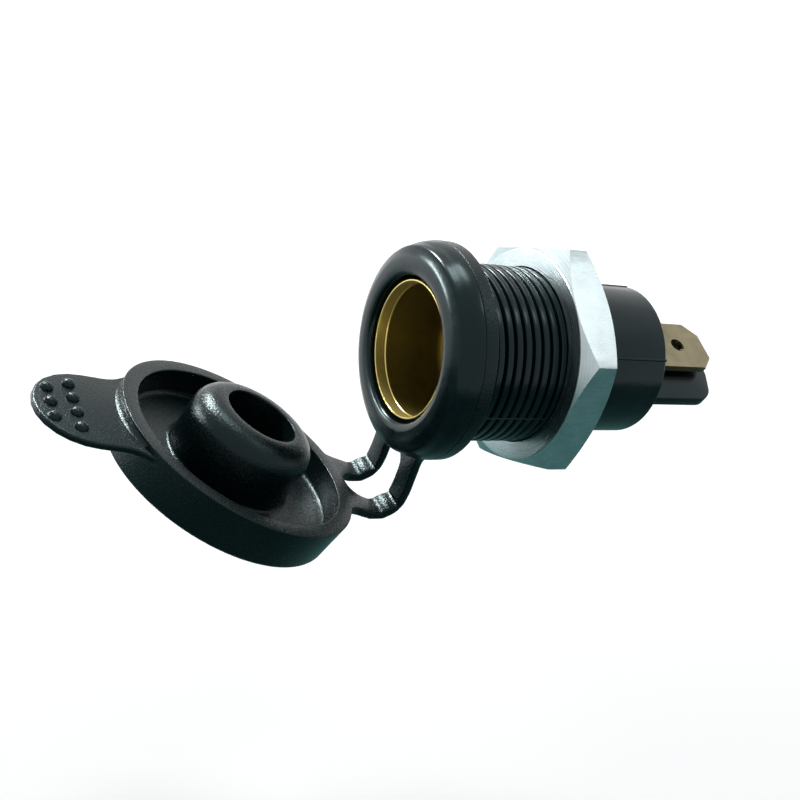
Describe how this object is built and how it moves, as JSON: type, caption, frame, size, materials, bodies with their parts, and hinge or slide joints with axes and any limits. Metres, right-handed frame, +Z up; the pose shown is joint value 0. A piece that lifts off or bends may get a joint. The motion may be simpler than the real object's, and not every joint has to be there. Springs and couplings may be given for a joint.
{
  "type": "panel power socket",
  "caption": "Round panel-mount power socket with brass-lined bore, threaded barrel, hexagon nut, flat push-on terminals and a rubber cap hinged on a folding strap.",
  "frame": {"origin": "on the bore's axis, in the face of the strap ring that seats on the panel", "axes": "+Y along the bore to the rear, +Z up with the cap's strap hanging straight down, X along the cap's fold"},
  "size_m": [0.0258, 0.0732, 0.0329],
  "materials": {
    "black_plastic": "satin moulded plastic",
    "black_rubber": "matt moulded rubber",
    "bright_brass": "drawn, bright at the rim",
    "dull_brass": "dull stamped strip",
    "nut_metal": "bright, turned faces"
  },
  "bodies": {
    "socket": {"housing": "black_plastic", "contact_sleeve": "bright_brass", "centre_contact": "bright_brass", "centre_blade": "dull_brass", "earth_blade": "dull_brass", "strap_ring": "black_rubber"},
    "nut": {"retaining_nut": "nut_metal"},
    "cap": {"cap": "black_rubber"}
  },
  "joints": [
    {"name": "cap_hinge", "type": "hinge", "parent": "socket", "child": "cap", "pos_m": [0, -0.00145, -0.0175], "axis": [1, 0, 0], "range_deg": [-70, 70], "stiffness_Nm_per_rad": 0.012, "springref_deg": -2.29},
    {"name": "nut_turn", "type": "hinge", "parent": "socket", "child": "nut", "pos_m": [0, 0.01132, 0], "axis": [0, 1, 0], "continuous": true}
  ]
}
